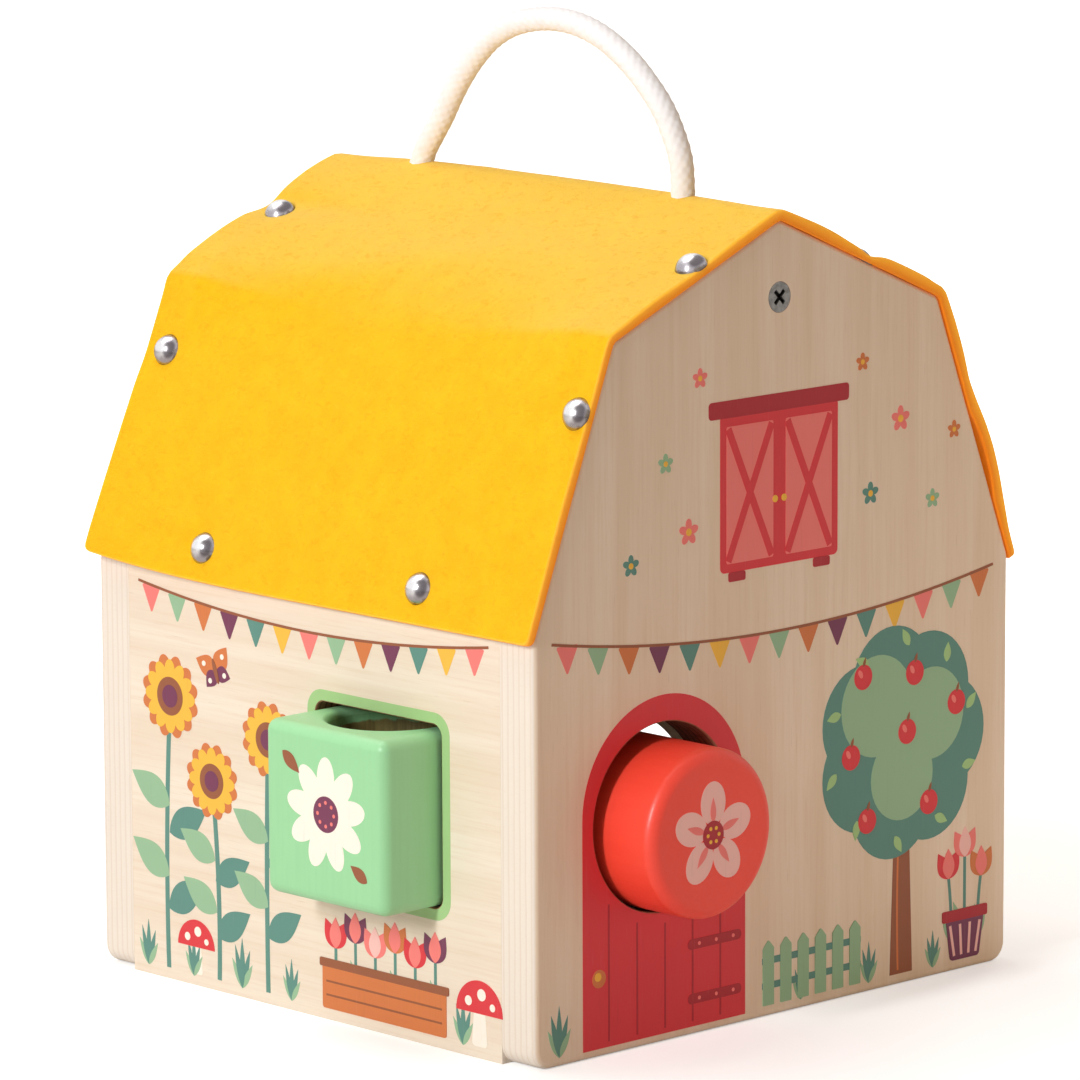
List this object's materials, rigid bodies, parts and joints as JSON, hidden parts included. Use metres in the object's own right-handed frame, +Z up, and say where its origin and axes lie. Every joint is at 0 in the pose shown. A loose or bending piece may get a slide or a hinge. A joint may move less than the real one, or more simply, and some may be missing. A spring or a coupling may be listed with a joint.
{
  "type": "wooden activity house",
  "caption": "Wooden posting house for a toddler: plywood gables and walls under a nailed felt roof, a rope carry handle, and blocks that slide through shaped holes.",
  "frame": {"origin": "centre of the floor's underside, on the surface that the house stands on", "axes": "+Z up, -Y towards the front gable with the round hole, -X towards the side wall with the square hole"},
  "size_m": [0.1922, 0.181, 0.2503],
  "materials": {
    "plywood": "sanded birch plywood with a clear matt lacquer and printed decoration",
    "pine": "planed",
    "beech": "turned",
    "screw_steel": "zinc plated",
    "nail_chrome": "polished",
    "felt": "pressed felt",
    "cotton": "braided cotton",
    "red_paint": "satin paint",
    "green_paint": "satin paint"
  },
  "bodies": {
    "house": {"front_panel": "plywood", "back_panel": "plywood", "left_wall": "plywood", "right_wall": "plywood", "floor_panel": "plywood", "ridge_beam": "pine", "wall_dowels_front": "beech", "wall_dowels_back": "beech", "floor_dowels": "beech", "ridge_screw_front": "screw_steel", "ridge_screw_back": "screw_steel", "roof_felt": "felt", "gable_nails_left": "nail_chrome", "gable_nails_right": "nail_chrome", "eave_nails_left": "nail_chrome", "eave_nails_right": "nail_chrome", "rope_end_front": "cotton", "rope_end_back": "cotton"},
    "handle": {"handle_rope": "cotton"},
    "round_peg": {"round_block": "red_paint"},
    "square_peg": {"square_block": "green_paint"}
  },
  "joints": [
    {"name": "handle_swing", "type": "hinge", "parent": "house", "child": "handle", "pos_m": [0, 0, 0.20983], "axis": [0, 1, 0], "range_deg": [-85, 85], "stiffness_Nm_per_rad": 0.02},
    {"name": "round_block_slide", "type": "slide", "parent": "house", "child": "round_peg", "axis": [0, -1, 0], "range_m": [-0.0135, 0.03]},
    {"name": "square_block_slide", "type": "slide", "parent": "house", "child": "square_peg", "axis": [-1, 0, 0], "range_m": [-0.028, 0.03]}
  ]
}
